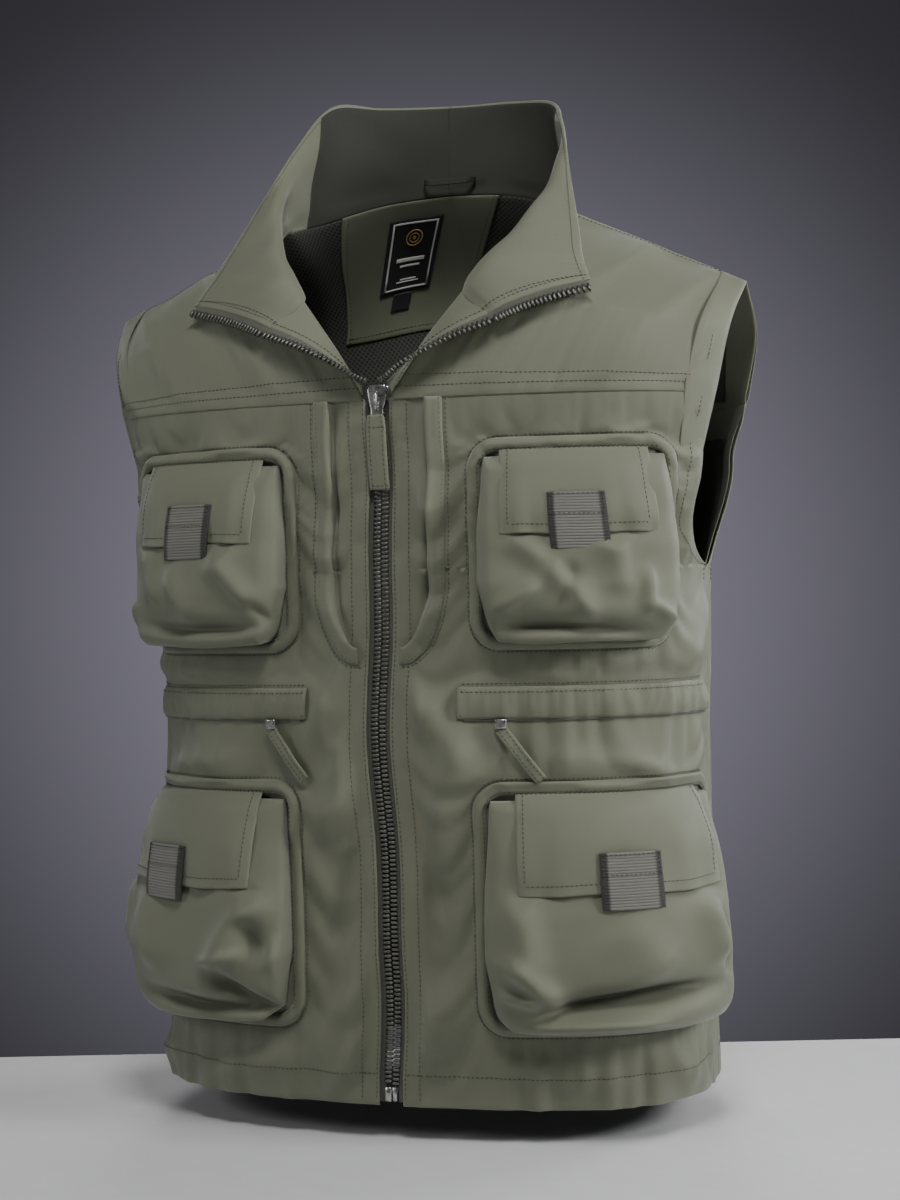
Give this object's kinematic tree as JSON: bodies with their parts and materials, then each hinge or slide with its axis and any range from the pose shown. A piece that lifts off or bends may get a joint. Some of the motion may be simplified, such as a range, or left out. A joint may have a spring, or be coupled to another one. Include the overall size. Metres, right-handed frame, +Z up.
{
  "type": "fishing vest",
  "caption": "Sleeveless olive utility vest with an open turned-out collar, a front zip, flapped bellows pockets with webbing tabs, zipped waist pockets and mesh lining.",
  "frame": {"origin": "the nape: where the collar meets the middle of the back yoke", "axes": "+Z up along the body, +X to the wearer's left, the front faces -Y"},
  "size_m": [0.4858, 0.3008, 0.7401],
  "materials": {
    "shell_olive": "satin olive microfibre with a fine plain weave",
    "pocket_cloth": "the same olive cloth, single layer, softly creased",
    "binding": "folded olive binding with edge stitching",
    "mesh_lining": "dark open mesh",
    "neck_facing": "dark smooth lining cloth",
    "label": "woven black label with a plain white frame",
    "zip_tape": "woven zip tape",
    "zip_metal": "nickel-finish zip metal",
    "webbing": "ribbed grey webbing",
    "hook_tape": "dark hook-and-loop tape"
  },
  "bodies": {
    "shell": {"back_panel": "shell_olive", "back_yoke": "shell_olive", "front_yoke_left": "shell_olive", "front_yoke_right": "shell_olive", "collar": "shell_olive", "lapel_left": "shell_olive", "lapel_right": "shell_olive", "zip_tape_upper_left": "zip_tape", "zip_tape_upper_right": "zip_tape", "zip_teeth_upper_left": "zip_metal", "zip_teeth_upper_right": "zip_metal", "mesh_lining_back": "mesh_lining", "neck_facing": "neck_facing", "neck_label": "label", "size_tab": "label", "hanger_loop": "neck_facing", "armhole_facing_left": "binding", "armhole_facing_right": "binding"},
    "front_left": {"front_panel_left": "shell_olive", "mesh_lining_left": "mesh_lining", "slit_welt_left": "binding", "zip_tape_left": "zip_tape", "zip_teeth_left": "zip_metal", "waist_welt_left": "binding", "waist_zip_left": "zip_tape", "chest_binding_left": "binding", "chest_bag_left": "pocket_cloth", "lower_binding_left": "binding", "lower_bag_left": "pocket_cloth", "zip_pin_left": "zip_metal"},
    "front_right": {"front_panel_right": "shell_olive", "mesh_lining_right": "mesh_lining", "slit_welt_right": "binding", "zip_tape_right": "zip_tape", "zip_teeth_right": "zip_metal", "waist_welt_right": "binding", "waist_zip_right": "zip_tape", "chest_binding_right": "binding", "chest_bag_right": "pocket_cloth", "lower_binding_right": "binding", "lower_bag_right": "pocket_cloth", "zip_box_right": "zip_metal"},
    "main_slider": {"main_slider": "zip_metal"},
    "main_pull": {"main_pull": "binding"},
    "chest_flap_left": {"chest_flap_left": "pocket_cloth", "chest_tab_left": "webbing", "chest_hook_patch_left": "hook_tape"},
    "lower_flap_left": {"lower_flap_left": "pocket_cloth", "lower_tab_left": "webbing", "lower_hook_patch_left": "hook_tape"},
    "waist_slider_left": {"waist_slider_left": "zip_metal"},
    "waist_pull_left": {"waist_pull_left": "binding"},
    "chest_flap_right": {"chest_flap_right": "pocket_cloth", "chest_tab_right": "webbing", "chest_hook_patch_right": "hook_tape"},
    "lower_flap_right": {"lower_flap_right": "pocket_cloth", "lower_tab_right": "webbing", "lower_hook_patch_right": "hook_tape"},
    "waist_slider_right": {"waist_slider_right": "zip_metal"},
    "waist_pull_right": {"waist_pull_right": "binding"}
  },
  "joints": [
    {"name": "front_left_open", "type": "hinge", "parent": "shell", "child": "front_left", "pos_m": [0.2088, -0.06608, -0.42], "axis": [0, 0, 1], "range_deg": [0, 25]},
    {"name": "front_right_open", "type": "hinge", "parent": "shell", "child": "front_right", "pos_m": [-0.2088, -0.06608, -0.42], "axis": [0, 0, -1], "range_deg": [0, 25]},
    {"name": "main_slider_travel", "type": "slide", "parent": "front_right", "child": "main_slider", "axis": [0, 0, -1], "range_m": [0, 0.455]},
    {"name": "main_pull_lift", "type": "hinge", "parent": "main_slider", "child": "main_pull", "pos_m": [0, -0.19958, -0.191], "axis": [-1, 0, 0], "range_deg": [0, 100]},
    {"name": "chest_flap_left_lift", "type": "hinge", "parent": "front_left", "child": "chest_flap_left", "pos_m": [0.13716, -0.18923, -0.2192], "axis": [-0.9614, -0.2753, 0], "range_deg": [0, 95]},
    {"name": "chest_flap_right_lift", "type": "hinge", "parent": "front_right", "child": "chest_flap_right", "pos_m": [-0.13716, -0.18923, -0.2192], "axis": [-0.9614, 0.2753, 0], "range_deg": [0, 95]},
    {"name": "lower_flap_left_lift", "type": "hinge", "parent": "front_left", "child": "lower_flap_left", "pos_m": [0.16078, -0.17349, -0.4542], "axis": [-0.8073, -0.5901, 0], "range_deg": [0, 95]},
    {"name": "lower_flap_right_lift", "type": "hinge", "parent": "front_right", "child": "lower_flap_right", "pos_m": [-0.16078, -0.17349, -0.4542], "axis": [-0.8073, 0.5901, 0], "range_deg": [0, 95]},
    {"name": "waist_slider_left_travel", "type": "hinge", "parent": "front_left", "child": "waist_slider_left", "pos_m": [0.06168, 0.01697, -0.405], "axis": [0, 0, 1], "range_deg": [0, 19.5]},
    {"name": "waist_pull_left_lift", "type": "hinge", "parent": "waist_slider_left", "child": "waist_pull_left", "pos_m": [0.0845, -0.1976, -0.41], "axis": [-0.9879, -0.155, 0], "range_deg": [0, 90]},
    {"name": "waist_slider_right_travel", "type": "hinge", "parent": "front_right", "child": "waist_slider_right", "pos_m": [-0.06168, 0.01697, -0.405], "axis": [0, 0, -1], "range_deg": [0, 19.5]},
    {"name": "waist_pull_right_lift", "type": "hinge", "parent": "waist_slider_right", "child": "waist_pull_right", "pos_m": [-0.0845, -0.1976, -0.41], "axis": [-0.9879, 0.155, 0], "range_deg": [0, 90]}
  ],
  "couplings": [
    {"joint": "front_right_open", "follows": "front_left_open", "ratio": 1},
    {"joint": "main_slider_travel", "follows": "front_left_open", "m_per_rad": 1.042}
  ]
}
